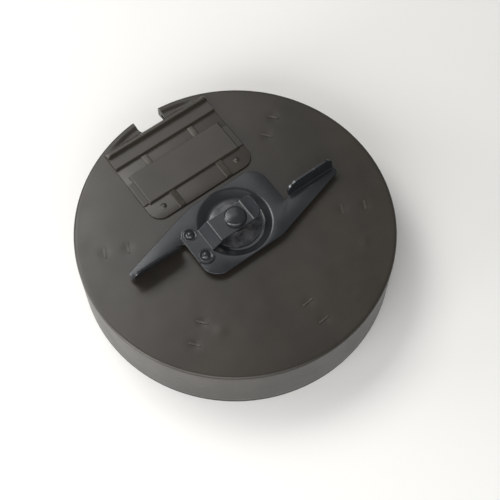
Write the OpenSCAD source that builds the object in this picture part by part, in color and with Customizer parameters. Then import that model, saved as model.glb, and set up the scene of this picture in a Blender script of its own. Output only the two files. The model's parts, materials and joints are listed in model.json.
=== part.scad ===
// Round developing tank for 16 mm wide film: a shallow pan, a deep cap that covers it down
// to the base, a turning reel on a centre post, and a key on the cap that drives the reel.
// Millimetres, +Z up. The origin is the middle of the base; the pouring bay is at +Y.

/* [Tank] */
// Outside radius of the cap
rim_r = 80; // [79.5:0.1:81]
// Height of the cap's top face above the base
tank_h = 34; // [34:0.5:38]
// Radius of the cap's rounded top edge
edge_r = 1.5; // [1.3:0.1:1.8]
// Thickness of the cap's top and of the floor
sheet = 1.2; // [1:0.1:1.3]
// Thickness of the side walls
wall_t = 1; // [0.8:0.1:1]

/* [Pouring bay] */
// Half width of the notch in the lid and the rim
notch_half_w = 7.8; // [7:0.1:8]
// Distance of the notch's inner edge from the centre
notch_y = 70.8; // [70.5:0.1:71.5]
// Half width of the pocket under the notch
pocket_half_w = 12; // [11:0.5:12]
// Height of the pocket's ledge above the base
ledge_z = 8; // [7:0.5:10]

/* [Hood] */
// Half width of the hood's base plate
plate_half_w = 30.6; // [30:0.1:31]
// Distance of the plate's front edge from the centre
plate_y0 = 23.4; // [23:0.1:24]
// Distance of the plate's back edge from the centre
plate_y1 = 59; // [58.5:0.1:59]
// Thickness of the base plate
plate_t = 1; // [0.8:0.1:1.2]
// Height of the cover over the base plate
cover_h = 1.6; // [1.4:0.1:1.6]
// Height of the weir bar's crest over the lid
crest_h = 5.2; // [4.8:0.1:6]

/* [Agitator] */
// Radius of the spindle
spindle_r = 5; // [4.5:0.1:5]
// Height of the key's top face over the lid
key_h = 4.05; // [4:0.05:4.3]
// Thickness of the key's sheet
key_t = 1.2; // [1:0.1:1.2]
// Half length of the key, from the centre to a blade's outer end
key_reach = 58.2; // [57:0.1:58.4]
// Half width of the key's body
key_half_w = 19.6; // [19:0.1:20]
// Angle of the finger blades from flat
blade_lean = 81; // [75:1:88]
// Height of the finger blades along the sheet
blade_len = 8; // [7:0.1:9]
// Radius of the spindle's domed nut
nut_r = 5.7; // [5:0.1:6]

/* [Reel] */
// Outside radius of the reel's flanges
reel_r = 68; // [66:0.5:68]
// Width of the film
film_w = 16; // [16:0.1:16.2]
// Distance from one turn of the film groove to the next
groove_pitch = 3; // [3:0.5:5]

/* [Hidden] */
$fn = 96;

black = [0.17, 0.16, 0.14];
blue_black = [0.2, 0.21, 0.23];
felt_black = [0.06, 0.06, 0.06];
steel = [0.6, 0.6, 0.6];
reel_black = [0.1, 0.1, 0.11];

// clearance between a lift-off part and what it lies in
gap = 0.3;
// radial clearance of a running fit
running = 0.06;
// overlap that makes a cut or a joint of one piece sure
eps = 0.05;

// cap and pan walls
lid_bottom = tank_h - sheet;
cap_in = rim_r - wall_t;
cap_z0 = sheet + gap;
wall_join = tank_h - edge_r;
wall_r = cap_in - gap - 0.1;
wall_in = wall_r - wall_t;
wall_top = lid_bottom - 0.5;
base_round = 0.5;

// pouring bay
lip_z = 27;
bay_t = 1;
notch_round = 3.6;
inlet_slot = [[72, 10], [75.5, 24]];
air_slot = [[72.4, 28.8], [76.4, 31.2]];
gutter_y = 71.6;
gutter_r = 76.8;
gutter_half_w = 28;
gutter_depth = 0.5;

// hood
hood_x = -0.4;
step_h = 2.7;
strap_w = 3.6;
strap_t = 0.7;
strap_xs = [-14.2, 14.2];
cover_half_w = 27.7;
cover_y = [33.4, 53.2];
cover_taper = 0.7;
flange_y = [34.4, 49];
flange_t_hood = 0.7;
hood_rivet_x = 22.3;
hood_rivet_y = 29.3;
hood_rivet_hole = 1;
vent_half_w = 19;
vent_ys = [38, 47];
vent_w = 2;

// lid seat
skirt_r = wall_in - gap;
seat_in = skirt_r - 2.7;
seat_z = 21;
collar_t = 0.8;
collar_h = 4;
seal_t = 1.8;
skirt_z = seat_z + sheet + seal_t;
ring_gap_half_w = pocket_half_w + bay_t + 0.6;

// post and reel heights
post_r = 6;
post_base_r = 18.5;
post_base_t = 1.5;
post_rivet_at = 15;
post_rivet_hole = 1.2;
post_rivet_h = 0.5;
post_top = 19;
flange_z = 3.4;
flange_t = 1.6;
film_z = flange_z + flange_t + 0.2;
upper_z = film_z + film_w + 0.2;
core_r = 13;
neck_r = 12;
core_top = upper_z + flange_t + 1.6;
rib_h = 1.4;
rib_w = 0.8;
pin_r = 1.5;
pin_half = 11.5;
pin_z = core_top - 3;
pin_slot_w = 3.4;

// brackets that hold the reel down
bracket_angles = [36.5, -26.5, -86, -143, 157];
bracket_in = 54;
bracket_out = 65.6;
bracket_w = 6;
bracket_t = 1;
bracket_foot_z = upper_z + flange_t + 1;
tab_proud = 0.25;

// screens beside the pouring bay
baffle_x = 17;
baffle_y = 68;

// spindle and key heights
bush_r = 8;
bush_flange_r = 11;
bush_flange_t = 2;
floor_bottom = tank_h + 0.45;
floor_top = floor_bottom + key_t;
key_top = tank_h + key_h;
drive_flat = 4;
hub_t = 0.8;
leaf_t = 0.8;
leaf_top = tank_h + 8.4;
stud_r = 3;
nut_h = 2.6;
dish_top_r = 18.4;
dish_floor_r = 14.6;
fold_y = 3.6;
blade_x0 = 29.8;
relief_y = 4.8;
clip_t = 0.8;
clip_z = lid_bottom - bush_flange_t - 0.1 - clip_t;
key_rivet_hole = 1.5;
leaf_half_w = 6.4;
leaf_rivet_x = -22.4;
leaf_rivet_y = 6.7;

// The points of an outline whose corners are rounded: corners is a list of
// [x, y, radius]; a radius of 0 keeps the corner sharp.
function unit(v) = v / norm(v);
function arc_points(c, a0, turn, r) =
    let (n = max(2, ceil(abs(turn) / 15)))
    [for (i = [0 : n]) c + r * [cos(a0 + turn * i / n), sin(a0 + turn * i / n)]];
function round_corner(p0, p1, p2, r) =
    let (
        a = unit(p0 - p1),
        b = unit(p2 - p1),
        half = acos(a * b) / 2,
        c = p1 + unit(a + b) * r / sin(half),
        start = p1 + a * r / tan(half) - c,
        side = a[0] * b[1] - a[1] * b[0] > 0 ? -1 : 1
    )
    arc_points(c, atan2(start[1], start[0]), side * (180 - 2 * half), r);
function xy(v) = [v[0], v[1]];
function rounded(corners) =
    let (n = len(corners))
    [for (i = [0 : n - 1])
        let (
            p0 = xy(corners[(i + n - 1) % n]),
            p1 = xy(corners[i]),
            p2 = xy(corners[(i + 1) % n])
        )
        each (corners[i][2] == 0 ? [p1] : round_corner(p0, p1, p2, corners[i][2]))];

// A ring lying at height z0
module ring(r_in, r_out, z0, h) {
    translate([0, 0, z0])
        difference() {
            cylinder(r = r_out, h = h);
            translate([0, 0, -1])
                cylinder(r = r_in, h = h + 2);
        }
}

// A box between two corners
module box(lo, hi) {
    translate(lo)
        cube(hi - lo);
}

// A domed rivet head standing at height z0, with a shank down to z1
module rivet(head_r, head_h, shank_r, z0, z1) {
    ball_r = (head_r * head_r + head_h * head_h) / (2 * head_h);
    intersection() {
        translate([0, 0, z0 + head_h - ball_r])
            sphere(r = ball_r);
        translate([0, 0, z0])
            cylinder(r = head_r, h = head_h);
    }
    translate([0, 0, z1])
        cylinder(r = shank_r, h = z0 - z1 + eps);
}

// The notch's plan, open towards +Y
module notch_plan() {
    polygon(rounded([
        [-notch_half_w, rim_r + 5, 0],
        [-notch_half_w, notch_y, notch_round],
        [notch_half_w, notch_y, notch_round],
        [notch_half_w, rim_r + 5, 0]
    ]));
}

// ---- tank -------------------------------------------------------------------

// What the pouring bay takes out of a side wall: a wide mouth with a narrow lip above
module bay_mouth() {
    box([-notch_half_w, 50, lip_z - eps], [notch_half_w, rim_r + 5, tank_h + 5]);
    box([-pocket_half_w, 50, ledge_z], [pocket_half_w, rim_r + 5, lip_z]);
}

module tank_pan() {
    color(black)
        difference() {
            union() {
                rotate_extrude() {
                    square([rim_r - base_round, sheet]);
                    translate([0, base_round])
                        square([rim_r, sheet - base_round]);
                    translate([rim_r - base_round, base_round])
                        circle(r = base_round);
                }
                ring(wall_in, wall_r, sheet - eps, wall_top - sheet + eps);
            }
            bay_mouth();
            post_rivet_places()
                translate([0, 0, -1])
                    cylinder(r = post_rivet_hole, h = 5);
        }
}

// A slot through both sides of the bay: at holds its lowest and highest [y, z]
module side_slot(half_w, at) {
    box([-half_w - 1, at[0][0], at[0][1]], [half_w + 1, at[1][0], at[1][1]]);
}

// Pocket behind the notch: a ledge, a back wall, and sides that step in under the lid
module pour_bay() {
    outer = pocket_half_w + bay_t;
    lip_outer = notch_half_w + bay_t;
    color(black)
        difference() {
            intersection() {
                union() {
                    box([-outer, notch_y - bay_t, ledge_z - bay_t], [outer, rim_r, lip_z + bay_t]);
                    box([-lip_outer, notch_y - bay_t, lip_z], [lip_outer, rim_r, wall_top]);
                }
                cylinder(r = wall_in, h = tank_h);
            }
            box([-pocket_half_w, notch_y, ledge_z], [pocket_half_w, rim_r + 5, lip_z]);
            box([-notch_half_w, notch_y, lip_z - 1], [notch_half_w, rim_r + 5, tank_h + 5]);
            // inlet slots in the pocket's sides, air slots in the lip's sides
            side_slot(outer, inlet_slot);
            side_slot(lip_outer, air_slot);
        }
}

// Upright plates that screen the inlet slots from the reel
module inlet_baffles() {
    color(black)
        intersection() {
            union() {
                for (side = [-1, 1])
                    translate([side * baffle_x, 0, 0])
                        box([-wall_t / 2, baffle_y, sheet], [wall_t / 2, rim_r, seat_z]);
            }
            cylinder(r = wall_in - collar_t, h = tank_h);
        }
}

module post_rivet_places() {
    for (a = [90 : 120 : 330])
        rotate([0, 0, a])
            translate([post_rivet_at, 0, 0])
                children();
}

module centre_post() {
    color(steel)
        difference() {
            union() {
                translate([0, 0, sheet])
                    cylinder(r = post_base_r, h = post_base_t);
                translate([0, 0, sheet])
                    cylinder(r = post_r, h = post_top - 1 - sheet);
                translate([0, 0, post_top - 1 - eps])
                    cylinder(r1 = post_r, r2 = post_r - 1, h = 1 + eps);
            }
            post_rivet_places()
                translate([0, 0, -1])
                    cylinder(r = post_rivet_hole, h = 8);
        }
}

module post_rivets() {
    color(steel)
        post_rivet_places()
            rivet(2, post_rivet_h, post_rivet_hole, sheet + post_base_t, 0);
}

// Raised strips on the floor that keep the bath moving under the reel
module floor_runners() {
    color(black)
        for (a = [30 : 60 : 330])
            rotate([0, 0, a])
                box([22, -2.5, sheet], [62, 2.5, sheet + 1]);
}

// A ring with its stretch behind the pouring bay taken out
module open_ring(r_in, r_out, z0, h) {
    difference() {
        ring(r_in, r_out, z0, h);
        box([-ring_gap_half_w, 50, z0 - 1], [ring_gap_half_w, rim_r, z0 + h + 1]);
    }
}

module lid_seat_ring() {
    color(black) {
        open_ring(seat_in, wall_in, seat_z, sheet);
        open_ring(wall_in - collar_t, wall_in, seat_z - collar_h, collar_h + eps);
    }
}

module light_seal() {
    color(felt_black)
        open_ring(seat_in, wall_in - 0.1, seat_z + sheet, seal_t);
}

// ---- lid --------------------------------------------------------------------

module bracket_places() {
    for (a = bracket_angles)
        rotate([0, 0, a])
            children();
}

// The section of the cap's top: a flat disc with a rounded edge
module cap_section() {
    difference() {
        union() {
            translate([0, wall_join])
                square([rim_r - edge_r, edge_r]);
            intersection() {
                translate([rim_r - edge_r, wall_join])
                    circle(r = edge_r);
                translate([rim_r - edge_r - eps, wall_join])
                    square(edge_r + eps);
            }
        }
        translate([-eps, wall_join - 1])
            square([cap_in + eps, lid_bottom - wall_join + 1]);
    }
}

module lid_cap() {
    color(black)
        difference() {
            rotate_extrude()
                cap_section();
            bay_mouth_of_cap();
            // drip gutters beside the notch
            intersection() {
                ring(notch_y, gutter_r, tank_h - gutter_depth, 2);
                box(
                    [-gutter_half_w, gutter_y, tank_h - gutter_depth],
                    [gutter_half_w, rim_r, tank_h + 1]
                );
            }
            translate([0, 0, lid_bottom - 1])
                cylinder(r = bush_r, h = sheet + 2);
            bracket_places()
                for (r = [bracket_in, bracket_out])
                    box(
                        [r - bracket_t / 2, -bracket_w / 2, lid_bottom - 1],
                        [r + bracket_t / 2, bracket_w / 2, tank_h + 1]
                    );
            // air vents under the hood
            for (y = vent_ys)
                box([-vent_half_w, y, lid_bottom - 1], [vent_half_w, y + vent_w, tank_h + 1]);
            hood_rivet_places()
                translate([0, 0, lid_bottom - 1])
                    cylinder(r = hood_rivet_hole, h = sheet + 2);
        }
}

// The notch in the cap's top, and the top of the bay's mouth
module bay_mouth_of_cap() {
    translate([0, 0, lid_bottom - 1])
        linear_extrude(height = sheet + 2)
            notch_plan();
    difference() {
        bay_mouth();
        cylinder(r = rim_r - edge_r, h = tank_h + 10);
    }
}

// The cap's wall reaches down over the pan, nearly to the floor's edge
module cap_wall() {
    color(black)
        difference() {
            ring(cap_in, rim_r, cap_z0, wall_join - cap_z0);
            bay_mouth();
        }
}

module lid_skirt() {
    color(black)
        open_ring(skirt_r - 1, skirt_r, skirt_z, lid_bottom - skirt_z);
}

// Staple-shaped brackets: the foot keeps the reel down, the legs pass up through
// slits in the lid and are staked
module hold_down_brackets() {
    color(black)
        bracket_places() {
            box(
                [bracket_in - bracket_t / 2, -bracket_w / 2, bracket_foot_z],
                [bracket_out + bracket_t / 2, bracket_w / 2, bracket_foot_z + bracket_t]
            );
            for (r = [bracket_in, bracket_out])
                box(
                    [r - bracket_t / 2, -bracket_w / 2, bracket_foot_z],
                    [r + bracket_t / 2, bracket_w / 2, tank_h + tab_proud]
                );
        }
}

module lid_bush() {
    color(steel)
        difference() {
            union() {
                translate([0, 0, lid_bottom - bush_flange_t])
                    cylinder(r = bush_flange_r, h = bush_flange_t);
                translate([0, 0, lid_bottom - eps])
                    cylinder(r = bush_r, h = sheet + eps);
            }
            cylinder(r = spindle_r + running, h = tank_h + 5);
        }
}

// Channel under the lid that keeps light from the air vents off the film
module vent_baffle() {
    color(black)
        difference() {
            box([-25, 35, lid_bottom - 3], [25, 53, lid_bottom]);
            box([-24, 34, lid_bottom - 2], [24, 54, lid_bottom + 1]);
        }
}

module hood_rivet_places() {
    for (side = [-1, 1])
        translate([hood_x + side * hood_rivet_x, hood_rivet_y, 0])
            children();
}

module hood_plate() {
    color(black)
        translate([0, 0, tank_h])
            difference() {
                linear_extrude(height = plate_t)
                    polygon(rounded([
                        [hood_x - plate_half_w, plate_y0, 7],
                        [hood_x + plate_half_w, plate_y0, 7],
                        [hood_x + plate_half_w, plate_y1, 0],
                        [hood_x - plate_half_w, plate_y1, 0]
                    ]));
                box(
                    [-vent_half_w - 3, vent_ys[0] - 1, -1],
                    [vent_half_w + 3, vent_ys[1] + 3, plate_t + 1]
                );
                hood_rivet_places()
                    translate([0, 0, -1])
                        cylinder(r = hood_rivet_hole, h = plate_t + 2);
            }
}

// Bar across the lid beside the pouring bay: a high crest and a lower step
module weir_bar() {
    color(black)
        difference() {
            translate([hood_x - plate_half_w, 0, tank_h])
                rotate([90, 0, 90])
                    linear_extrude(height = 2 * plate_half_w)
                        polygon(rounded([
                            [plate_y1, 0, 0],
                            [plate_y1, plate_t, 0],
                            [plate_y1 + 0.9, step_h, 0.4],
                            [65.6, step_h, 0.5],
                            [66.6, crest_h, 0.7],
                            [68.4, crest_h, 1.4],
                            [71.6, 0, 0]
                        ]));
            translate([0, 0, tank_h - 1])
                linear_extrude(height = crest_h + 2)
                    notch_plan();
        }
}

// The cover's raised box, as a tray with sloping sides
module cover_box(inset, z0, z1) {
    base = [cover_half_w - inset, cover_y[0] + inset, cover_y[1] - inset];
    top = base + cover_taper * [-1, 1, -1];
    hull() {
        box([-base[0], base[1], z0], [base[0], base[2], z0 + 0.1]);
        box([-top[0], top[1], z1 - 0.1], [top[0], top[2], z1]);
    }
}

module hood_cover() {
    z0 = tank_h + plate_t;
    color(black)
        translate([hood_x, 0, 0])
            difference() {
                union() {
                    cover_box(0, z0, z0 + cover_h);
                    box(
                        [-plate_half_w, flange_y[0], z0],
                        [plate_half_w, flange_y[1], z0 + flange_t_hood]
                    );
                }
                cover_box(1, z0 - 0.2, z0 + cover_h - 0.8);
                // low gap at the back where the air leaves
                box([-vent_half_w + 6, cover_y[1] - 1.4, z0 - 1], [vent_half_w - 6, 54, z0 + 0.7]);
                for (x = strap_xs)
                    box([x - strap_w / 2, 30, z0 - 1], [x + strap_w / 2, 56, z0 + strap_t]);
            }
}

module hood_straps() {
    z0 = tank_h + plate_t;
    color(black)
        for (x = strap_xs)
            translate([hood_x + x, 0, 0])
                box([-strap_w / 2, plate_y0 + 0.4, z0], [strap_w / 2, plate_y1, z0 + strap_t]);
}

module hood_rivets() {
    color(black)
        hood_rivet_places()
            rivet(1.6, 0.9, hood_rivet_hole, tank_h + plate_t, lid_bottom);
}

// ---- agitator ---------------------------------------------------------------

// The spindle's section where it drives the key: a round with two flats
module drive_section(h) {
    intersection() {
        cylinder(r = spindle_r, h = h);
        translate([-10, -drive_flat, 0])
            cube([20, 2 * drive_flat, h]);
    }
}

module agitator_spindle() {
    bottom = post_top + 0.8;
    color(steel)
        difference() {
            union() {
                translate([0, 0, bottom])
                    cylinder(r = spindle_r, h = floor_bottom - bottom);
                translate([0, 0, floor_bottom - eps])
                    drive_section(leaf_top - leaf_t - floor_bottom + eps);
                translate([0, 0, leaf_top - leaf_t - eps])
                    cylinder(r = stud_r, h = leaf_t + 1.2 + eps);
            }
            // groove for the spring clip
            ring(spindle_r - 0.8, spindle_r + 1, clip_z, clip_t);
            // cross hole for the drive pin
            translate([0, 0, pin_z])
                rotate([0, 90, 0])
                    cylinder(r = pin_r, h = 40, center = true);
        }
}

module drive_pin() {
    color(steel)
        translate([0, 0, pin_z])
            rotate([0, 90, 0])
                cylinder(r = pin_r, h = 2 * pin_half, center = true);
}

module spindle_clip() {
    color(steel)
        difference() {
            ring(spindle_r - 0.8, spindle_r + 2.4, clip_z, clip_t);
            box([-2.5, 0, clip_z - 1], [2.5, 12, clip_z + clip_t + 1]);
        }
}

module thrust_washer() {
    color(steel)
        ring(spindle_r, 10.5, tank_h + eps, floor_bottom - tank_h - eps);
}

// The key's plan: two body corners, a slanting edge to a pointed arm, and the hook
// where the blade starts, twice round the centre
module key_plan() {
    half = [
        [-27.2, -key_half_w, 9],
        [14.4, -key_half_w, 10],
        [key_reach, -7.6, 2],
        [key_reach - 0.2, -fold_y, 0],
        [blade_x0, -fold_y, 0],
        [blade_x0 - 0.4, -relief_y, 0],
        [27, -relief_y, 1.4]
    ];
    polygon(rounded(concat(half, [for (p = half) [-p[0], -p[1], p[2]]])));
}

// One finger blade, on the arm that points to +X
module finger_blade() {
    mid = key_top - key_t / 2;
    length = key_reach - 1 - blade_x0;
    translate([blade_x0 + 0.4, -fold_y, mid]) {
        rotate([blade_lean, 0, 0])
            translate([0, 0, -key_t / 2])
                linear_extrude(height = key_t)
                    polygon(rounded([
                        [0, 0, 0],
                        [length, 0, 0],
                        [length, blade_len, 3.8],
                        [0, blade_len, 5.4]
                    ]));
        translate([0.1, 0, 0])
            rotate([0, 90, 0])
                cylinder(r = key_t / 2 - 0.1, h = length - 0.2);
    }
}

// The dish pressed into the key's middle: its solid from r0 to r1 between two heights
module dish_solid(r0, z0, r1, z1) {
    rotate_extrude()
        polygon([[0, z0], [r0, z0], [r1, z1], [0, z1]]);
}

module wing_key() {
    slope = (dish_top_r - dish_floor_r) / (key_top - floor_top);
    color(blue_black)
        difference() {
            union() {
                translate([0, 0, key_top - key_t])
                    linear_extrude(height = key_t)
                        key_plan();
                dish_solid(
                    dish_floor_r - 0.7, floor_bottom,
                    dish_top_r - 0.7 + slope * 0.2, key_top - key_t + 0.2
                );
                for (a = [0, 180])
                    rotate([0, 0, a])
                        finger_blade();
            }
            dish_solid(dish_floor_r, floor_top, dish_top_r + slope, key_top + 1);
            translate([0, 0, floor_bottom - 1])
                drive_section(5);
            key_rivet_places()
                translate([0, 0, key_top - 5])
                    cylinder(r = key_rivet_hole, h = 10);
        }
}

module hub_washer() {
    color(blue_black)
        difference() {
            translate([0, 0, floor_top])
                cylinder(r = 13.2, h = hub_t);
            translate([0, 0, floor_top - 1])
                drive_section(5);
        }
}

module key_rivet_places() {
    for (side = [-1, 1])
        translate([leaf_rivet_x, side * leaf_rivet_y, 0])
            children();
}

// The leaf's side view, from the riveted root up to the nut and on to the free end
module leaf_spring() {
    root_z = key_top;
    rise_x0 = -17.4;
    rise_x1 = -12.2;
    flat_x = 7;
    tip_x = 12.4;
    tip_rise = 3;
    color(blue_black)
        difference() {
            union() {
                translate([0, leaf_half_w, 0])
                    rotate([90, 0, 0])
                        linear_extrude(height = 2 * leaf_half_w)
                            polygon([
                                [-27.2, root_z],
                                [rise_x0, root_z],
                                [rise_x1, leaf_top - leaf_t],
                                [flat_x, leaf_top - leaf_t],
                                [tip_x, leaf_top - leaf_t + tip_rise],
                                [tip_x - 0.4, leaf_top + tip_rise],
                                [flat_x - 0.2, leaf_top],
                                [rise_x1 - 0.4, leaf_top],
                                [rise_x0 - 0.4, root_z + leaf_t],
                                [-27.2, root_z + leaf_t]
                            ]);
                key_rivet_places()
                    translate([0, 0, root_z])
                        cylinder(r = 4.4, h = leaf_t);
            }
            translate([0, 0, leaf_top - 3])
                cylinder(r = stud_r, h = 6);
            key_rivet_places()
                translate([0, 0, root_z - 1])
                    cylinder(r = key_rivet_hole, h = 4);
        }
}

module key_rivets() {
    color(blue_black)
        key_rivet_places()
            rivet(2.4, 1.7, key_rivet_hole, key_top + leaf_t, key_top - key_t);
}

module domed_nut() {
    color(blue_black)
        translate([0, 0, leaf_top])
            difference() {
                intersection() {
                    cylinder(r = nut_r, h = nut_h);
                    translate([0, 0, nut_h - 8])
                        sphere(r = 8);
                }
                translate([0, 0, -1])
                    cylinder(r = stud_r, h = 1 + 1.2);
            }
}

// ---- reel -------------------------------------------------------------------

module reel_core() {
    color(reel_black)
        difference() {
            union() {
                translate([0, 0, sheet + post_base_t + 0.1])
                    cylinder(r = neck_r, h = core_top - sheet - post_base_t - 0.1);
                translate([0, 0, flange_z + flange_t])
                    cylinder(r = core_r, h = upper_z - flange_z - flange_t);
            }
            cylinder(r = post_r + running, h = core_top + 5);
            box([-20, -pin_slot_w / 2, pin_z - pin_r - 0.3], [20, pin_slot_w / 2, core_top + 5]);
        }
}

// The film groove's rib: half turns struck in turn from two centres half a pitch apart
module groove_rib(z0) {
    step = groove_pitch / 2;
    r0 = 24;
    count = floor((reel_r - 2 - r0) / step);
    for (k = [0 : count - 1])
        translate([k % 2 == 0 ? 0 : step, 0, z0])
            rotate([0, 0, k % 2 == 0 ? 0 : 180])
                rotate_extrude(angle = 180)
                    translate([r0 + k * step - rib_w / 2, 0])
                        square([rib_w, rib_h + eps]);
}

module flange_plate(z0) {
    difference() {
        ring(neck_r, reel_r, z0, flange_t);
        for (a = [22.5 : 45 : 337.5])
            rotate([0, 0, a])
                box([20, -3, z0 - 1], [62, 3, z0 + flange_t + 1]);
    }
}

module lower_flange() {
    color(reel_black) {
        flange_plate(flange_z);
        groove_rib(flange_z + flange_t - eps);
    }
}

module upper_flange() {
    color(reel_black) {
        flange_plate(upper_z);
        groove_rib(upper_z - rib_h);
    }
}

module reel_collar() {
    color(reel_black)
        ring(neck_r, 16, upper_z + flange_t, 1.2);
}

// Spring clip that holds the film's inner end against the core
module film_clip() {
    color(steel)
        translate([0, 0, film_z + 1.8])
            rotate([0, 0, -20])
                rotate_extrude(angle = 40)
                    translate([core_r, 0])
                        square([0.8, film_w - 3.6]);
}

// ---- assembly ---------------------------------------------------------------

tank_pan();
pour_bay();
inlet_baffles();
centre_post();
post_rivets();
floor_runners();
lid_seat_ring();
light_seal();
lid_cap();
cap_wall();
lid_skirt();
hold_down_brackets();
lid_bush();
vent_baffle();
hood_plate();
weir_bar();
hood_cover();
hood_straps();
hood_rivets();
agitator_spindle();
drive_pin();
spindle_clip();
thrust_washer();
wing_key();
hub_washer();
leaf_spring();
key_rivets();
domed_nut();
reel_core();
lower_flange();
upper_flange();
reel_collar();
film_clip();
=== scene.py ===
"""Looks of a round film developing tank: fine meshes and materials around the CAD frame."""
import json
import math

import bmesh
import bpy
import numpy as np
from mathutils import Matrix, Vector, noise


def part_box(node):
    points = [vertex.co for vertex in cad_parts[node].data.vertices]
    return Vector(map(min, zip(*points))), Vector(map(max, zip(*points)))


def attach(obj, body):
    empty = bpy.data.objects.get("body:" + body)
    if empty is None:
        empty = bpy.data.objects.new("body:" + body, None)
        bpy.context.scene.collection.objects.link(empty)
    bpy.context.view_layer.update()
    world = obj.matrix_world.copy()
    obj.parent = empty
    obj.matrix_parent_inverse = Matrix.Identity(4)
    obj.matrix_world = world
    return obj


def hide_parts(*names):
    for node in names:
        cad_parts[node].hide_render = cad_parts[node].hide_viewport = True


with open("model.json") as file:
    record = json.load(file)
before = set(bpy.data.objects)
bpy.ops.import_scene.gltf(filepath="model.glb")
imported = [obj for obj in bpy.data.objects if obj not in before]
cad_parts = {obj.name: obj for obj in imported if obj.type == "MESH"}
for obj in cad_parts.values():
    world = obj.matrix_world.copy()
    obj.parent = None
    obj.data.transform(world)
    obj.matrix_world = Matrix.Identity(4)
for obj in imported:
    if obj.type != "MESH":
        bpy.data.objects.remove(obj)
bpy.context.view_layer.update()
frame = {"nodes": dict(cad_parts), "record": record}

MM = 0.001


def node_box(name):
    """A CAD node's lowest and highest corners, in millimetres."""
    low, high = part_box(name)
    return low / MM, high / MM


# ---- places taken from the frame, in millimetres -------------------------------------

CAP_HIGH = node_box("lid_cap")[1]
BAY_LOW, BAY_HIGH = node_box("pour_bay")
PLATE_LOW, PLATE_HIGH = node_box("hood_plate")
BAR_LOW, BAR_HIGH = node_box("weir_bar")
COVER_LOW, COVER_HIGH = node_box("hood_cover")
STRAP_LOW, STRAP_HIGH = node_box("hood_straps")
KEY_HIGH = node_box("wing_key")[1]
LEAF_LOW = node_box("leaf_spring")[0]
NUT_LOW, NUT_HIGH = node_box("domed_nut")
HUB_LOW, HUB_HIGH = node_box("hub_washer")
RIVET_LOW, RIVET_HIGH = node_box("key_rivets")
HOOD_RIVET_LOW, HOOD_RIVET_HIGH = node_box("hood_rivets")

RIM_R = CAP_HIGH.x
LID_Z = CAP_HIGH.z
CAP_FOOT = node_box("cap_wall")[0].z
# sheet, wall and edge sizes that the frame does not give
SHEET = 1.2
WALL_T = 1.0
EDGE_R = 1.5
BAY_T = 1.0
PLATE_TOP = PLATE_HIGH.z
HOOD_X = (PLATE_LOW.x + PLATE_HIGH.x) / 2
POCKET_HALF_W = BAY_HIGH.x - BAY_T
NOTCH_Y = BAY_LOW.y + BAY_T
NOTCH_HALF_W = 7.8
NOTCH_ROUND = 3.6
LIP_Z = 27.0
LEDGE_Z = BAY_LOW.z + BAY_T
GUTTER_R = 76.8
GUTTER_HALF_W = 28.0


# ---- outlines -------------------------------------------------------------------------

def arc_points(centre, a0, turn, radius, step=6.0):
    """Points on an arc, from angle a0 through turn, in degrees."""
    count = max(3, math.ceil(abs(turn) / step))
    angles = [math.radians(a0 + turn * i / count) for i in range(count + 1)]
    return [centre + radius * Vector((math.cos(a), math.sin(a))) for a in angles]


def rounded(corners):
    """An outline's points; each corner is (x, y, radius), and radius 0 stays sharp."""
    points = []
    count = len(corners)
    for i, (x, y, radius) in enumerate(corners):
        corner = Vector((x, y))
        if radius == 0:
            points.append(corner)
            continue
        before = (Vector(corners[i - 1][:2]) - corner).normalized()
        after = (Vector(corners[(i + 1) % count][:2]) - corner).normalized()
        half = before.angle(after) / 2
        centre = corner + (before + after).normalized() * radius / math.sin(half)
        start = corner + before * radius / math.tan(half) - centre
        side = -1 if before.x * after.y - before.y * after.x > 0 else 1
        turn = side * (180 - 2 * math.degrees(half))
        points += arc_points(centre, math.degrees(math.atan2(start.y, start.x)), turn, radius)
    return points


def circle(radius, count, centre=(0, 0)):
    """Points round a circle."""
    angles = [2 * math.pi * i / count for i in range(count)]
    return [Vector((centre[0] + radius * math.cos(a), centre[1] + radius * math.sin(a)))
            for a in angles]


def inset(outline, distance):
    """The outline moved inwards; it runs counter-clockwise."""
    moved = []
    count = len(outline)
    for i, point in enumerate(outline):
        a = (point - outline[i - 1]).normalized()
        b = (outline[(i + 1) % count] - point).normalized()
        normal = Vector((-a.y - b.y, a.x + b.x))
        normal.normalize()
        stretch = max(0.5, normal.dot(Vector((-a.y, a.x))))
        moved.append(point + normal * distance / stretch)
    return moved


# ---- meshes ---------------------------------------------------------------------------

def finish_piece(name, mesh, body, material, replaces=(), sharp=35):
    """Turns a mesh in millimetres into a named piece that rides on a body."""
    mesh.transform(Matrix.Scale(MM, 4))
    mesh.shade_smooth()
    mesh.set_sharp_from_angle(angle=math.radians(sharp))
    piece = bpy.data.objects.new(name, mesh)
    bpy.context.scene.collection.objects.link(piece)
    mesh.materials.append(material)
    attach(piece, body)
    if replaces:
        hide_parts(*replaces)
    return piece


def mesh_from(bm, name):
    """A mesh with its faces turned outwards."""
    bmesh.ops.remove_doubles(bm, verts=bm.verts, dist=1e-4)
    bmesh.ops.recalc_face_normals(bm, faces=bm.faces)
    mesh = bpy.data.meshes.new(name)
    bm.to_mesh(mesh)
    bm.free()
    return mesh


def bridge(bm, lower, upper):
    """Faces between two rings of the same number of vertices."""
    count = len(lower)
    for i in range(count):
        j = (i + 1) % count
        bm.faces.new((lower[i], lower[j], upper[j], upper[i]))


def ring_at(bm, outline, z):
    return [bm.verts.new((p.x, p.y, z)) for p in outline]


def fill_flat(bm, rings):
    """A flat face inside the first ring, around the others."""
    edges = set()
    for ring in rings:
        for i, vert in enumerate(ring):
            edges.add(bm.edges.get((ring[i - 1], vert)) or bm.edges.new((ring[i - 1], vert)))
    if len(rings) == 1:
        bm.faces.new(rings[0])
    else:
        bmesh.ops.triangle_fill(bm, use_beauty=True, use_dissolve=False, edges=list(edges))


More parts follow.
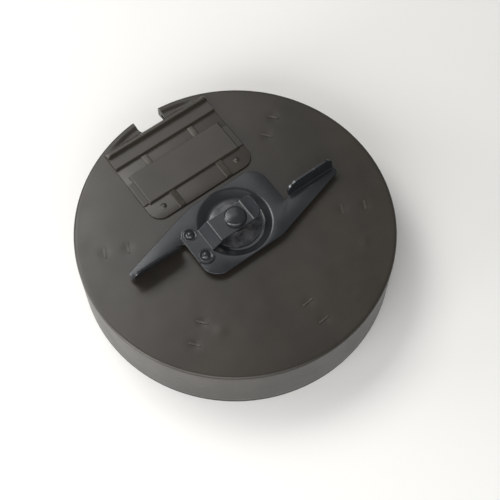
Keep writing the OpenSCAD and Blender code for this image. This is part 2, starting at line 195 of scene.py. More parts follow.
def plate_mesh(name, outline, z0, z1, edge, hole=None, steps=4):
    """A flat plate with rounded top and bottom edges and, if given, one open hole."""
    bm = bmesh.new()
    rings = []
    for i in range(steps + 1):
        a = math.pi / 2 * i / steps
        rings.append(ring_at(bm, inset(outline, edge * (1 - math.sin(a))),
                             z0 + edge * (1 - math.cos(a))))
    for i in range(steps + 1):
        a = math.pi / 2 * i / steps
        rings.append(ring_at(bm, inset(outline, edge * (1 - math.cos(a))),
                             z1 - edge * (1 - math.sin(a))))
    for lower, upper in zip(rings, rings[1:]):
        bridge(bm, lower, upper)
    fill_flat(bm, [rings[0]] + ([ring_at(bm, hole, z0)] if hole else []))
    fill_flat(bm, [rings[-1]] + ([ring_at(bm, hole, z1)] if hole else []))
    return mesh_from(bm, name)


def add_lathe(bm, profile, segments):
    """Turns a profile of (radius, z) points round the Z axis; radius 0 closes it."""
    rings = []
    for radius, z in profile:
        if radius < 1e-6:
            rings.append([bm.verts.new((0, 0, z))])
        else:
            rings.append(ring_at(bm, circle(radius, segments), z))
    for a, b in zip(rings, rings[1:]):
        if len(a) == 1 or len(b) == 1:
            point, ring = (a[0], b) if len(a) == 1 else (b[0], a)
            for i, vert in enumerate(ring):
                bm.faces.new((point, ring[i - 1], vert))
        else:
            bridge(bm, a, b)


def lathe_mesh(name, profile, segments=96, centres=((0, 0),)):
    """A turned solid, set down at each centre."""
    bm = bmesh.new()
    for x, y in centres:
        before = set(bm.verts)
        add_lathe(bm, profile, segments)
        new = [v for v in bm.verts if v not in before]
        bmesh.ops.translate(bm, verts=new, vec=(x, y, 0))
    return mesh_from(bm, name)


def grid_mesh(name, rows, closed=False):
    """A sheet through rows of points; closed joins each row's ends."""
    bm = bmesh.new()
    verts = [[bm.verts.new(p) for p in row] for row in rows]
    for a, b in zip(verts, verts[1:]):
        span = len(a) if closed else len(a) - 1
        for i in range(span):
            j = (i + 1) % len(a)
            bm.faces.new((a[i], a[j], b[j], b[i]))
    return mesh_from(bm, name)


def apply_modifiers(piece):
    """Bakes a piece's modifiers into its mesh."""
    bpy.context.view_layer.update()
    graph = bpy.context.evaluated_depsgraph_get()
    mesh = bpy.data.meshes.new_from_object(piece.evaluated_get(graph))
    piece.modifiers.clear()
    piece.data = mesh


def round_edges(piece, width, angle=50, segments=3):
    """Rounds every sharp edge of a piece."""
    bevel = piece.modifiers.new("rounded", "BEVEL")
    bevel.width = width * MM
    bevel.segments = segments
    bevel.limit_method = "ANGLE"
    bevel.angle_limit = math.radians(angle)
    bevel.use_clamp_overlap = True


def thicken(piece, thickness, edge):
    """Gives a sheet its thickness, with rounded edges."""
    solid = piece.modifiers.new("thick", "SOLIDIFY")
    solid.thickness = thickness * MM
    solid.offset = 0
    solid.use_even_offset = True
    round_edges(piece, edge)
    apply_modifiers(piece)
    piece.data.shade_smooth()
    piece.data.set_sharp_from_angle(angle=math.radians(35))


def cut(piece, outline, z0, z1):
    """Cuts an upright prism out of a piece."""
    cutter = bpy.data.objects.new("cutter", plate_mesh("cutter", outline, z0, z1, 0.001, steps=1))
    cutter.data.transform(Matrix.Scale(MM, 4))
    bpy.context.scene.collection.objects.link(cutter)
    boolean = piece.modifiers.new("cut", "BOOLEAN")
    boolean.operation = "DIFFERENCE"
    boolean.solver = "EXACT"
    boolean.object = cutter
    apply_modifiers(piece)
    bpy.data.objects.remove(cutter)


def smooth_step(low, high, value):
    t = min(1.0, max(0.0, (value - low) / (high - low)))
    return t * t * (3 - 2 * t)


# ---- materials ------------------------------------------------------------------------

class Nodes:
    """Short names for building one material's node tree."""

    def __init__(self, name):
        self.material = bpy.data.materials.new(name)
        self.material.use_nodes = True
        self.tree = self.material.node_tree
        self.shader = self.tree.nodes["Principled BSDF"]
        self.place = self.new("ShaderNodeTexCoord").outputs["Object"]

    def new(self, kind, **settings):
        node = self.tree.nodes.new(kind)
        for key, value in settings.items():
            setattr(node, key, value)
        return node

    def link(self, source, target):
        self.tree.links.new(source, target)

    def noise(self, scale, detail=3.0, rough=0.5, stretch=None):
        """Noise with features 1 / scale metres across."""
        node = self.new("ShaderNodeTexNoise")
        node.inputs["Scale"].default_value = scale
        node.inputs["Detail"].default_value = detail
        node.inputs["Roughness"].default_value = rough
        place = self.place
        if stretch:
            mapping = self.new("ShaderNodeMapping")
            mapping.inputs["Scale"].default_value = stretch
            mapping.inputs["Rotation"].default_value = (0, 0, 0.5)
            self.link(place, mapping.inputs["Vector"])
            place = mapping.outputs["Vector"]
        self.link(place, node.inputs["Vector"])
        return node.outputs["Fac"]

    def ramp(self, value, low, high, out_low=0.0, out_high=1.0):
        """Maps a value's range to another."""
        node = self.new("ShaderNodeMapRange")
        for name, number in (("From Min", low), ("From Max", high),
                             ("To Min", out_low), ("To Max", out_high)):
            node.inputs[name].default_value = number
        self.link(value, node.inputs["Value"])
        return node.outputs["Result"]

    def maths(self, operation, a, b):
        node = self.new("ShaderNodeMath", operation=operation)
        for socket, value in zip(node.inputs, (a, b)):
            if isinstance(value, (int, float)):
                socket.default_value = value
            else:
                self.link(value, socket)
        return node.outputs["Value"]

    def mix(self, factor, a, b):
        """Mixes two colours, each a tuple or a socket."""
        node = self.new("ShaderNodeMix", data_type="RGBA")
        self.link(factor, node.inputs["Factor"])
        for socket, value in ((node.inputs[6], a), (node.inputs[7], b)):
            if isinstance(value, tuple):
                socket.default_value = (*value, 1)
            else:
                self.link(value, socket)
        return node.outputs[2]

    def bump(self, height, distance, strength=1.0, normal=None):
        node = self.new("ShaderNodeBump")
        node.inputs["Distance"].default_value = distance
        node.inputs["Strength"].default_value = strength
        self.link(height, node.inputs["Height"])
        if normal:
            self.link(normal, node.inputs["Normal"])
        return node.outputs["Normal"]

    def edges(self, low, high):
        """0 on flats, 1 on worn outer edges."""
        return self.ramp(self.new("ShaderNodeNewGeometry").outputs["Pointiness"], low, high)


def finish_metal(name, dark, light, worn, rough, grain, wear, metallic=0.0, specular=0.5):
    """Coated or oxidised steel: clouded colour, dust specks, smudged gloss, worn edges."""
    n = Nodes(name)
    clouds = n.ramp(n.noise(22, 4, 0.6), 0.35, 0.65)
    colour = n.mix(clouds, dark, light)
    specks = n.ramp(n.noise(1900, 2, 0.6), 0.66, 0.78)
    blotches = n.ramp(n.noise(70, 3, 0.55), 0.45, 0.7)
    dust = n.maths("MULTIPLY", specks, blotches)
    colour = n.mix(n.maths("MULTIPLY", dust, 0.35), colour, tuple(4.0 * c + 0.03 for c in light))
    patchy = n.ramp(n.noise(260, 4, 0.6), 0.35, 0.7)
    edge = n.maths("MULTIPLY", n.edges(0.53, 0.62), patchy)
    colour = n.mix(n.maths("MULTIPLY", edge, wear), colour, worn)
    n.link(colour, n.shader.inputs["Base Color"])
    smudge = n.ramp(n.noise(34, 5, 0.6), 0.3, 0.7, rough - 0.045, rough + 0.055)
    fine = n.ramp(n.noise(600, 3, 0.6), 0.3, 0.7, -0.02, 0.02)
    rub = n.ramp(n.noise(120, 4, 0.7, stretch=(1, 9, 1)), 0.6, 0.8, 0.0, -0.05)
    n.link(n.maths("ADD", n.maths("ADD", smudge, fine), rub), n.shader.inputs["Roughness"])
    peel = n.bump(n.noise(1100, 2, 0.5), grain * MM, 0.6)
    ripple = n.bump(n.noise(55, 2, 0.5), 0.25 * MM, 0.12, peel)
    n.link(ripple, n.shader.inputs["Normal"])
    n.shader.inputs["Metallic"].default_value = metallic
    n.shader.inputs["Specular IOR Level"].default_value = specular
    return n.material


def bright_steel():
    """Turned steel with fine circular lines."""
    n = Nodes("plain_steel_finish")
    lines = n.noise(2600, 3, 0.6, stretch=(1, 1, 6))
    colour = n.mix(n.ramp(n.noise(60, 4), 0.35, 0.65), (0.36, 0.35, 0.33), (0.5, 0.49, 0.47))
    n.link(colour, n.shader.inputs["Base Color"])
    n.link(n.ramp(lines, 0.3, 0.7, 0.26, 0.42), n.shader.inputs["Roughness"])
    n.link(n.bump(lines, 0.01 * MM, 0.5), n.shader.inputs["Normal"])
    n.shader.inputs["Metallic"].default_value = 1.0
    return n.material


def black_felt():
    """Pressed felt: matted fibres."""
    n = Nodes("felt_finish")
    fibres = n.noise(1800, 5, 0.75)
    n.link(n.mix(fibres, (0.008, 0.008, 0.008), (0.045, 0.043, 0.04)),
           n.shader.inputs["Base Color"])
    n.link(n.bump(fibres, 0.3 * MM, 0.9), n.shader.inputs["Normal"])
    n.link(n.ramp(fibres, 0.3, 0.7, 0.85, 1.0), n.shader.inputs["Roughness"])
    return n.material


def phenolic():
    """Moulded black phenolic: faint flow marks under a semi-gloss skin."""
    n = Nodes("reel_finish")
    flow = n.noise(45, 4, 0.6, stretch=(1, 3, 1))
    n.link(n.mix(flow, (0.012, 0.011, 0.01), (0.035, 0.03, 0.027)),
           n.shader.inputs["Base Color"])
    n.link(n.ramp(n.noise(150, 4, 0.6), 0.3, 0.7, 0.24, 0.38), n.shader.inputs["Roughness"])
    n.link(n.bump(n.noise(700, 2), 0.02 * MM, 0.4), n.shader.inputs["Normal"])
    return n.material


def white_paper():
    """The seamless paper that the tank stands on."""
    n = Nodes("paper_finish")
    n.link(n.mix(n.noise(8, 3), (0.86, 0.855, 0.835), (0.89, 0.885, 0.87)),
           n.shader.inputs["Base Color"])
    n.link(n.ramp(n.noise(300, 3), 0.3, 0.7, 0.7, 0.8), n.shader.inputs["Roughness"])
    return n.material


LACQUER = finish_metal("black_lacquer_finish", (0.022, 0.019, 0.015), (0.032, 0.027, 0.021),
                       (0.16, 0.145, 0.125), rough=0.34, grain=0.015, wear=0.5)
BLUED = finish_metal("blued_steel_finish", (0.018, 0.020, 0.023), (0.032, 0.034, 0.038),
                     (0.32, 0.32, 0.32), rough=0.22, grain=0.010, wear=0.6,
                     metallic=0.35, specular=0.6)
STEEL = bright_steel()
FELT = black_felt()
PHENOLIC = phenolic()
MATERIALS = {"black_lacquer": LACQUER, "blued_steel": BLUED, "plain_steel": STEEL,
             "felt": FELT, "reel_plastic": PHENOLIC}


def dress_cad_nodes():
    """Gives every CAD node the material of its slot and softens the hard-edged ones."""
    slots = {s["node"]: s["material_slot"] for s in frame["record"]["subparts"]}
    for name, node in frame["nodes"].items():
        node.data.materials.clear()
        node.data.materials.append(MATERIALS[slots[name]])
    for name, width in (("pour_bay", 0.15), ("inlet_baffles", 0.2), ("floor_runners", 0.3),
                        ("hold_down_brackets", 0.22), ("vent_baffle", 0.2),
                        ("lid_skirt", 0.2), ("drive_pin", 0.2), ("film_clip", 0.15)):
        node = frame["nodes"][name]
        weld = node.modifiers.new("weld", "WELD")
        weld.merge_threshold = 0.002 * MM
        round_edges(node, width, angle=50, segments=2)


# ---- lid ------------------------------------------------------------------------------

# small dings in the lid: x, y, radius, and height over the sheet
DINGS = ((-38.5, -41.0, 3.2, 0.16), (45.5, -45.5, 2.0, 0.14), (25.0, -62.0, 2.2, -0.10),
         (-62.0, 33.0, 5.0, -0.10), (12.0, -40.0, 7.0, -0.05), (60.0, 8.0, 8.0, -0.05))


def tab_places():
    """Where the staked tabs come through the lid."""
    brackets = frame["nodes"]["hold_down_brackets"].data
    top = max(v.co.z for v in brackets.vertices) - 1e-5
    found = []
    for vert in brackets.vertices:
        if vert.co.z > top:
            place = vert.co.xy / MM
            near = [group for group in found if (group[0] - place).length < 7]
            if near:
                near[0].append(place)
            else:
                found.append([place])
    return [sum(group, Vector((0, 0))) / len(group) for group in found]


def lid_height(x, y, tabs):
    """Height of the cap's top over its plane: gutters, dings, tab dimples, sheet waviness."""
    radius = math.hypot(x, y)
    height = 0.10 * noise.noise((x / 26, y / 26, 3.7)) + 0.03 * noise.noise((x / 9, y / 9, 1.2))
    height *= smooth_step(RIM_R - EDGE_R, RIM_R - 8, radius)
    if y > 66 and abs(x) < GUTTER_HALF_W + 4:
        beside = smooth_step(BAR_HIGH.y - 1.0, BAR_HIGH.y + 0.6, y)
        strip = smooth_step(GUTTER_R + 0.3, GUTTER_R - 1.2, radius)
        along = smooth_step(GUTTER_HALF_W + 3, GUTTER_HALF_W - 14, abs(x))
        height -= 0.75 * beside * strip * along
    for dx, dy, size, amount in DINGS:
        far = math.hypot(x - dx, y - dy) / size
        if far < 3:
            height += amount * math.exp(-far * far)
    for tab in tabs:
        far = math.hypot(x - tab.x, y - tab.y) / 2.6
        if far < 3:
            height -= 0.16 * math.exp(-far * far)
    return height


def make_cap():
    """The cap: a fine sheet top, a rounded edge and a wall, cut out at the pouring bay."""
    tabs = tab_places()
    segments = 480
    hole = 8.0
    flat_r = RIM_R - EDGE_R
    radii = np.linspace(hole, flat_r, 84)
    rows = [[Vector((p.x, p.y, LID_Z - SHEET)) for p in circle(hole, segments)]]
    for radius in radii:
        rows.append([Vector((p.x, p.y, LID_Z + lid_height(p.x, p.y, tabs)))
                     for p in circle(radius, segments)])
    inside = WALL_T * 0.5
    side = [(flat_r + EDGE_R * math.sin(a), LID_Z - EDGE_R * (1 - math.cos(a)))
            for a in np.linspace(0, math.pi / 2, 12)[1:]]
    side += [(RIM_R, z) for z in np.linspace(LID_Z - EDGE_R, CAP_FOOT + 0.4, 12)[1:]]
    side += [(RIM_R - 0.1, CAP_FOOT + 0.12), (RIM_R - 0.35, CAP_FOOT),
             (RIM_R - WALL_T, CAP_FOOT), (RIM_R - WALL_T, LID_Z - SHEET - inside),
             (RIM_R - WALL_T - inside, LID_Z - SHEET)]
    for radius, z in side:
        rows.append([Vector((p.x, p.y, z)) for p in circle(radius, segments)])
    rows.append(rows[0])
    piece = finish_piece("cap_shell", grid_mesh("cap_shell", rows, closed=True), "lid",
                         LACQUER, ["lid_cap", "cap_wall"])
    cut(piece, notch_outline(), LIP_Z, LID_Z + 3)
    cut(piece, box_outline(-POCKET_HALF_W, NOTCH_Y, POCKET_HALF_W, RIM_R + 5), LEDGE_Z,
        LIP_Z + 0.01)
    round_edges(piece, 0.3, angle=60, segments=3)
    apply_modifiers(piece)
    piece.data.shade_smooth()
    piece.data.set_sharp_from_angle(angle=math.radians(40))


def notch_outline():
    """The notch's plan, open past the rim."""
    half, far = NOTCH_HALF_W, RIM_R + 5
    return rounded([(-half, far, 0), (-half, NOTCH_Y, NOTCH_ROUND),
                    (half, NOTCH_Y, NOTCH_ROUND), (half, far, 0)])


def box_outline(x0, y0, x1, y1):
    return [Vector(p) for p in ((x0, y0), (x1, y0), (x1, y1), (x0, y1))]


def make_base_plate():
    """The hood's base plate, with two rounded front corners."""
    left, right = PLATE_LOW.x, PLATE_HIGH.x
    corner = 7
    outline = rounded([(left, PLATE_LOW.y, corner), (right, PLATE_LOW.y, corner),
                       (right, PLATE_HIGH.y + 1, 0), (left, PLATE_HIGH.y + 1, 0)])
    finish_piece("base_plate", plate_mesh("base_plate", outline, PLATE_LOW.z, PLATE_TOP, 0.35),
                 "lid", LACQUER, ["hood_plate"])


def grid_lines(stops, step):
    """Grid lines through every stop, no further apart than step."""
    lines = []
    for a, b in zip(stops, stops[1:]):
        count = max(1, math.ceil((b - a) / step - 1e-6))
        lines += [a + (b - a) * i / count for i in range(count)]
    return lines + [stops[-1]]


def pressed_mesh(name, xs, ys, height, inside, base):
    """A pressed form: heights on a grid, closed down to a flat base."""
    bm = bmesh.new()
    tops, feet = {}, {}

    def corner(store, i, j, z):
        if (i, j) not in store:
            store[i, j] = bm.verts.new((xs[i], ys[j], z))
        return store[i, j]

    for i in range(len(xs) - 1):
        for j in range(len(ys) - 1):
            if not inside((xs[i] + xs[i + 1]) / 2, (ys[j] + ys[j + 1]) / 2):
                continue
            cell = ((i, j), (i + 1, j), (i + 1, j + 1), (i, j + 1))
            bm.faces.new([corner(tops, a, b, base + height(xs[a], ys[b])) for a, b in cell])
            bm.faces.new([corner(feet, a, b, base) for a, b in reversed(cell)])
    where = {vert: key for key, vert in tops.items()}
    for edge in [e for e in bm.edges if e.is_boundary and e.verts[0] in where]:
        a, b = edge.verts
        if edge.link_loops[0].vert is a:
            a, b = b, a
        bm.faces.new((a, b, feet[where[b]], feet[where[a]]))
    return mesh_from(bm, name)


def edge_round(distance, radius):
    """How much of its height a form has at a distance from its edge: a quarter round."""
    t = min(1.0, max(0.0, distance / radius))
    return math.sqrt(1 - (1 - t) ** 2)


def profile_height(y, points, soft):
    """A polyline's height at y, averaged over a short span so that its corners are round."""
    ys = np.array([p[0] for p in points])
    zs = np.array([p[1] for p in points])
    span = np.linspace(-1, 1, 13)
    weight = np.cos(span * math.pi / 2) ** 2
    return float((np.interp(y + span * soft, ys, zs) * weight).sum() / weight.sum())


def make_weir_bar():
    """The bar beside the pouring bay: a round crest that dies away at its ends, and a step."""
    step_h, plate_h = 2.7, PLATE_TOP - LID_Z
    crest = BAR_HIGH.z - LID_Z
    y0, y1 = BAR_LOW.y, BAR_HIGH.y
    low = [(y0, plate_h), (y0 + 0.25, plate_h), (y0 + 0.85, step_h), (y1 - 2.6, step_h),
           (y1, 0)]
    high = [(y0 + 7.1, step_h), (y0 + 7.7, crest), (y1 - 3.2, crest), (y1 + 0.2, -0.2)]
    half = (BAR_HIGH.x - BAR_LOW.x) / 2

    def height(x, y):
        base = profile_height(y, low, 0.35)
        top = profile_height(y, high, 0.6) if y > high[0][0] - 0.6 else 0.0
        ends = edge_round(half - abs(x), 1.8)
        value = base + max(0.0, top - base) * ends
        return max(0.02, value * edge_round(half - abs(x) + 0.1, 0.45))

    near_ends = (0.1, 0.2, 0.3, 0.45, 0.7, 0.9, 1.2, 1.5, 1.8)
    xs = sorted(set(grid_lines([-half, -half + 2.2, half - 2.2, half], 0.6))
                | {s * (half - d) for s in (-1, 1) for d in near_ends})
    ys = grid_lines([y0, y1], 0.14)
    mesh = pressed_mesh("crest_bar", xs, ys, height, lambda x, y: True, LID_Z)
    mesh.transform(Matrix.Translation((HOOD_X, 0, 0)))
    piece = finish_piece("crest_bar", mesh, "lid", LACQUER, ["weir_bar"])
    cut(piece, notch_outline(), LID_Z - 2, LID_Z + 12)


def make_cover():
    """The hood's cover: a raised box with sloping sides on a flange with stepped corners."""
    rise = COVER_HIGH.z - COVER_LOW.z
    flange_h = 0.7
    flange_y = (34.4, 49.0)
    box_x, box_y = 27.7, (COVER_LOW.y, COVER_HIGH.y)
    half = (COVER_HIGH.x - COVER_LOW.x) / 2

    def height(x, y):
        side = min(box_x - abs(x), y - box_y[0], box_y[1] - y)
        slope = profile_height(side, [(-2, 0), (0.1, 0), (0.75, rise), (40, rise)], 0.32)
        edge = min(half - abs(x), y - flange_y[0], flange_y[1] - y)
        flange = flange_h * edge_round(edge + 0.05, 0.35) if edge > -0.05 else 0.0
        crown = 0.06 * noise.noise((x / 17, y / 17, 8.1))
        return max(0.02, slope, flange) + crown * smooth_step(1, 4, side)

    def inside(x, y):
        in_box = abs(x) < box_x and box_y[0] < y < box_y[1]
        return in_box or (flange_y[0] < y < flange_y[1])

    near = (0.0, 0.12, 0.24, 0.36, 0.5, 0.64, 0.78, 0.92, 1.06, 1.2, 1.5)
    xs = sorted(set(grid_lines([-half, -box_x, box_x, half], 0.9))
                | {s * (box_x - d) for s in (-1, 1) for d in near}
                | {s * (half - d) for s in (-1, 1) for d in near[:4]})
    ys = sorted(set(grid_lines([box_y[0], flange_y[0], flange_y[1], box_y[1]], 0.9))
                | {box_y[0] + d for d in near} | {box_y[1] - d for d in near}
                | {flange_y[0] + d for d in near[:4]} | {flange_y[1] - d for d in near[:4]})
    mesh = pressed_mesh("cover_pressing", xs, ys, height, inside, COVER_LOW.z)
    mesh.transform(Matrix.Translation((HOOD_X, 0, 0)))
    finish_piece("cover_pressing", mesh, "lid", LACQUER, ["hood_cover"], 50)


def make_straps():
    """Two flat straps with rounded edges, lying along the plate."""
    width, edge = 3.6, 0.5
    centre = (STRAP_HIGH.x - STRAP_LOW.x - width) / 2
    top = STRAP_HIGH.z - STRAP_LOW.z
    bm = bmesh.new()
    for side in (-1, 1):
        section = [Vector((-width / 2, 0))]
        section += arc_points(Vector((-width / 2 + edge, top - edge)), 180, -90, edge, 15)
        section += arc_points(Vector((width / 2 - edge, top - edge)), 90, -90, edge, 15)
        section += [Vector((width / 2, 0))]
        rings = [[bm.verts.new((HOOD_X + side * centre + p.x, y, STRAP_LOW.z + p.y * drop))
                  for p in section]
                 for y, drop in ((STRAP_LOW.y, 0.35), (STRAP_LOW.y + 0.15, 0.75),
                                 (STRAP_LOW.y + 0.4, 1.0), (STRAP_HIGH.y, 1.0))]
        for a, b in zip(rings, rings[1:]):
            bridge(bm, a, b)
        bm.faces.new(rings[0])
        bm.faces.new(rings[-1])
    finish_piece("strap_pair", mesh_from(bm, "strap_pair"), "lid", LACQUER,
                 ["hood_straps"])


def dome_profile(radius, height, foot, base):
    """A rivet head: a round dome on a short upright foot."""
    ball = (radius * radius + height * height) / (2 * height)
    half = math.asin(radius / ball)
    points = [(0, base), (radius, base), (radius, base + foot)]
    for i in range(1, 11):
        a = half * (1 - i / 10)
        points.append((ball * math.sin(a), base + foot + height - ball * (1 - math.cos(a))))
    return points


def make_hood_rivets():
    radius = 1.6
    left, right = HOOD_RIVET_LOW.x + radius, HOOD_RIVET_HIGH.x - radius
    y = (HOOD_RIVET_LOW.y + HOOD_RIVET_HIGH.y) / 2
    profile = dome_profile(radius, 0.75, 0.15, PLATE_TOP)
    finish_piece("hood_rivet_heads", lathe_mesh("hood_rivet_heads", profile, 32,
                                                ((left, y), (right, y))),
                 "lid", LACQUER, ["hood_rivets"])


# ---- agitator -------------------------------------------------------------------------

KEY_T = 1.2
LEAF_T = 0.8
KEY_RIVET_R = 2.4
KEY_TOP = LEAF_LOW.z
KEY_HALF_W = KEY_HIGH.y
KEY_REACH = 58.2
FOLD_Y = 3.6
BLADE_X0 = 29.8
DISH_TOP_R = 18.4
DISH_FLOOR_R = 14.6
DISH_SEGMENTS = 128


def key_outline():
    """The key's plan: one half, and the same half turned round the centre."""
    half = [(-27.2, -KEY_HALF_W, 9), (14.4, -KEY_HALF_W, 10), (KEY_REACH, -7.6, 2),
            (KEY_REACH - 0.2, -FOLD_Y - 0.3, 0.4), (BLADE_X0, -FOLD_Y - 0.3, 0.3),
            (BLADE_X0 - 0.4, -4.8, 0.4), (27, -4.8, 1.4)]
    return rounded(half + [(-x, -y, radius) for x, y, radius in half])


def dish_profile(offset):
    """The dish's side view from its rim to its middle, moved down by offset."""
    floor_z = HUB_LOW.z
    rim = DISH_TOP_R + 0.9
    points = [(rim, KEY_TOP), (DISH_TOP_R + 0.35, KEY_TOP - 0.03),
              (DISH_TOP_R - 0.1, KEY_TOP - 0.16), (DISH_TOP_R - 0.5, KEY_TOP - 0.40),
              (DISH_FLOOR_R + 0.8, floor_z + 0.36),
              (DISH_FLOOR_R + 0.3, floor_z + 0.12), (DISH_FLOOR_R - 0.2, floor_z + 0.02),
              (DISH_FLOOR_R - 1.0, floor_z), (5.0, floor_z)]
    return [(radius, z - offset) for radius, z in points]


def make_key():
    """The winged key: a flat plate with a dish pressed in its middle, and two blades."""
    rim = circle(DISH_TOP_R + 0.9, DISH_SEGMENTS)
    mesh = plate_mesh("key_plate", key_outline(), KEY_TOP - KEY_T, KEY_TOP, 0.4, rim, 5)
    bm = bmesh.new()
    bm.from_mesh(mesh)
    add_lathe(bm, dish_profile(0), DISH_SEGMENTS)
    add_lathe(bm, dish_profile(KEY_T), DISH_SEGMENTS)
    bmesh.ops.remove_doubles(bm, verts=bm.verts, dist=1e-3)
    bmesh.ops.recalc_face_normals(bm, faces=bm.faces)
    bm.to_mesh(mesh)
    bm.free()
    finish_piece("key_plate", mesh, "agitator", BLUED, ["wing_key"])
    for turn, name in ((0, "blade_right"), (180, "blade_left")):
        make_blade(name, turn)


BLADE_LEAN = math.radians(81)
BLADE_LEN = 8.0
BEND_R = 1.2


def make_blade(name, turn):
    """A finger blade: it rises out of the arm in a smooth bend, and its corners are round."""
    mid = KEY_TOP - KEY_T / 2
    setback = BEND_R * math.tan(BLADE_LEAN / 2)
    start_y = -FOLD_Y - setback
    bend = BLADE_LEAN * BEND_R
    total = bend + BLADE_LEN - setback
    x0, x1 = BLADE_X0 + 0.2, KEY_REACH - 0.8
    inner_round, outer_round = 5.4, 3.8

    def at(distance):
        angle = min(bend, max(0.0, distance)) / BEND_R
        run = max(0.0, distance - bend)
        under = min(0.0, distance)
        return (start_y + under + BEND_R * math.sin(angle) + run * math.cos(angle),
                mid + 0.06 * under + BEND_R * (1 - math.cos(angle)) + run * math.sin(angle))

    def corner(distance, radius):
        into = min(radius, distance - (total - radius))
        return radius - math.sqrt(radius * radius - into * into) if into > 0 else 0.0

    stops = [-1.0, -0.5, *np.linspace(0, bend, 10), *np.linspace(bend, total - 3, 12)[1:]]
    stops += [total - 3 * (1 - i / 16) ** 1.8 for i in range(1, 17)]
    rows = []
    for distance in stops:
        y, z = at(distance)
        left = x0 + corner(distance, inner_round)
        right = x1 - corner(distance, outer_round)
        rows.append([Vector((left + (right - left) * i / 44, y, z)) for i in range(45)])
    mesh = grid_mesh(name, rows)
    mesh.transform(Matrix.Rotation(math.radians(turn), 4, "Z"))
    piece = finish_piece(name, mesh, "agitator", BLUED, ["wing_key"])
    thicken(piece, KEY_T, 0.4)


def leaf_path():
    """The leaf's middle line from root to free end, as (x, z), with round bends."""
    root = KEY_TOP + LEAF_T / 2
    flat = NUT_LOW.z - LEAF_T / 2
    corners = [(-27.2, root), (-17.6, root), (-12.4, flat), (7.0, flat), (12.2, flat + 3.0)]
    radii = (0, 1.6, 1.8, 3.2, 0)
    points = rounded([(x, z, r) for (x, z), r in zip(corners, radii)])
    path = [points[0]]
    for a, b in zip(points, points[1:]):
        count = max(1, math.ceil((b - a).length / 0.5))
        path += [a + (b - a) * i / count for i in range(1, count + 1)]
    return path


def make_leaf():
    """The leaf spring: ears round two rivets, a neck that rises, and a turned-up end."""
    path = leaf_path()
    rivet_x = (RIVET_LOW.x + RIVET_HIGH.x) / 2
    rivet_y = RIVET_HIGH.y - KEY_RIVET_R
    ear = 4.4
    neck_half_w, root_half_w, root_x = 6.4, 8.2, -26.2
    tip_round, tip_drop = 4.0, 3.4
    tip = path[-1].x
    rows = []
    for point in path:
        off = (point.x - rivet_x) / ear
        half = rivet_y + ear * math.sqrt(1 - off * off) if abs(off) < 1 else 0.0
        half = max(half, neck_half_w)
        if point.x < root_x:
            half = max(root_half_w, half)
        into = (point.x - (tip - tip_round)) / tip_round
        if into > 0:
            half -= tip_drop * (1 - math.sqrt(max(0.0, 1 - into * into)))
        rows.append([Vector((point.x, half * (2 * i / 28 - 1), point.y)) for i in range(29)])
    piece = finish_piece("leaf_blade", grid_mesh("leaf_blade", rows), "agitator",
                         BLUED, ["leaf_spring"])
    thicken(piece, LEAF_T, 0.28)


def make_key_rivets():
    """Two domed rivets, each on a thin pressed ring."""
    x, y = (RIVET_LOW.x + RIVET_HIGH.x) / 2, RIVET_HIGH.y - KEY_RIVET_R
    base = KEY_TOP + LEAF_T
    dome = dome_profile(KEY_RIVET_R, 1.45, 0.25, base)
    finish_piece("key_rivet_heads", lathe_mesh("key_rivet_heads", dome, 40, ((x, -y), (x, y))),
                 "agitator", BLUED, ["key_rivets"])
    ring = [(2.3, base - 0.05)]
    ring += [tuple(p) for p in arc_points(Vector((3.1, base - 0.1)), 160, -140, 0.42, 20)]
    ring += [(3.7, base - 0.05), (2.3, base - 0.05)]
    finish_piece("rivet_rings", lathe_mesh("rivet_rings", ring, 40, ((x, -y), (x, y))),
                 "agitator", BLUED)


def make_nut():
    """The domed nut: an upright foot, a round shoulder and a slightly flattened top."""
    radius, height = NUT_HIGH.x, NUT_HIGH.z - NUT_LOW.z
    base = NUT_LOW.z
    shoulder = arc_points(Vector((radius - 1.9, base + 0.55)), 0, 62, 1.9, 8)
    top = base + height
    profile = [(0, base), (radius, base)] + [tuple(p) for p in shoulder]
    last = profile[-1]
    for i in range(1, 9):
        t = i / 8
        profile.append((last[0] * (1 - t), last[1] + (top - last[1]) * math.sin(t * math.pi / 2)))
    finish_piece("nut_dome", lathe_mesh("nut_dome", profile, 64), "agitator",
                 BLUED, ["domed_nut"])


def make_hub():
    """The washer in the dish, with a turned edge."""
    outer, low, high = HUB_HIGH.x, HUB_LOW.z, HUB_HIGH.z
    profile = [(5.0, low), (outer, low), (outer, high - 0.3), (outer - 0.1, high - 0.09),
               (outer - 0.3, high), (5.0, high), (5.0, low)]
    finish_piece("hub_disc", lathe_mesh("hub_disc", profile, 96), "agitator",
                 BLUED, ["hub_washer"])


# ---- floor, light, camera -------------------------------------------------------------

VIEW_AZIMUTH = -36.7
VIEW_ELEVATION = 64.54
VIEW_ROLL = 0.352
VIEW_DISTANCE = 0.5503
AIM_RIGHT = 0.00725
AIM_UP = -0.01231
LENS = 80.11


def view_axes():
    """The camera's right, up and backward directions."""
    elevation, roll = math.radians(VIEW_ELEVATION), math.radians(VIEW_ROLL)
    back = Vector((0, -math.cos(elevation), math.sin(elevation)))
    right = Vector((1, 0, 0))
    up = back.cross(right)
    right, up = (math.cos(roll) * right + math.sin(roll) * up,
                 math.cos(roll) * up - math.sin(roll) * right)
    turn = Matrix.Rotation(math.radians(VIEW_AZIMUTH), 3, "Z")
    return turn @ right, turn @ up, turn @ back


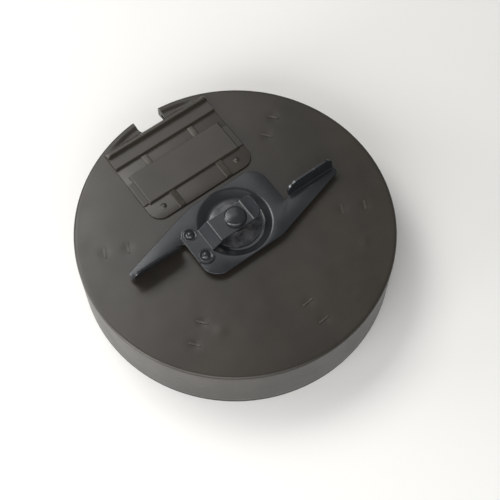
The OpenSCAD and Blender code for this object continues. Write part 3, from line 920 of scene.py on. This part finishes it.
def make_camera():
    right, up, back = view_axes()
    place = Vector((0, 0, LID_Z * MM)) + back * VIEW_DISTANCE + right * AIM_RIGHT + up * AIM_UP
    data = bpy.data.cameras.new("camera")
    data.lens = LENS
    data.sensor_width = 36
    camera = bpy.data.objects.new("camera", data)
    axes = Matrix((right, up, back)).transposed().to_4x4()
    camera.matrix_world = Matrix.Translation(place) @ axes
    bpy.context.scene.collection.objects.link(camera)
    bpy.context.scene.camera = camera


LIGHT_DISTANCE = 0.9


def soft_light(name, azimuth, elevation, size, power, colour=(1, 1, 1)):
    """A square soft light aimed at the lid; azimuth runs from the picture's right side."""
    angle = math.radians(azimuth + VIEW_AZIMUTH)
    rise = math.radians(elevation)
    target = Vector((0, 0, LID_Z * MM))
    away = Vector((math.cos(angle) * math.cos(rise), math.sin(angle) * math.cos(rise),
                   math.sin(rise)))
    data = bpy.data.lights.new(name, "AREA")
    data.shape = "SQUARE"
    data.size = size
    data.energy = power
    data.color = colour
    light = bpy.data.objects.new(name, data)
    light.location = target + away * LIGHT_DISTANCE
    light.rotation_euler = away.to_track_quat("Z", "Y").to_euler()
    bpy.context.scene.collection.objects.link(light)


def make_floor():
    bm = bmesh.new()
    bmesh.ops.create_grid(bm, x_segments=8, y_segments=8, size=3.0)
    mesh = bpy.data.meshes.new("paper")
    bm.to_mesh(mesh)
    bm.free()
    floor = bpy.data.objects.new("paper", mesh)
    mesh.materials.append(white_paper())
    bpy.context.scene.collection.objects.link(floor)


def make_surroundings():
    world = bpy.data.worlds.new("studio")
    world.use_nodes = True
    sky = world.node_tree.nodes["Background"]
    sky.inputs["Color"].default_value = (1.0, 1.0, 1.0, 1)
    sky.inputs["Strength"].default_value = 0.24
    bpy.context.scene.world = world
    soft_light("window", 145, 54, 0.45, 3.6, (1.0, 0.985, 0.95))
    soft_light("second_window", 115, 52, 0.5, 0.9)
    soft_light("front", 250, 32, 0.6, 3.8)
    soft_light("low", 219, 9, 0.3, 3.6)
    soft_light("right", 288, 34, 0.6, 2.0)
    soft_light("side", 182, 13, 0.45, 3.2)
    bpy.context.scene.view_settings.view_transform = "Standard"


dress_cad_nodes()
make_cap()
make_base_plate()
make_weir_bar()
make_cover()
make_straps()
make_hood_rivets()
make_key()
make_leaf()
make_key_rivets()
make_nut()
make_hub()
make_floor()
make_surroundings()
make_camera()
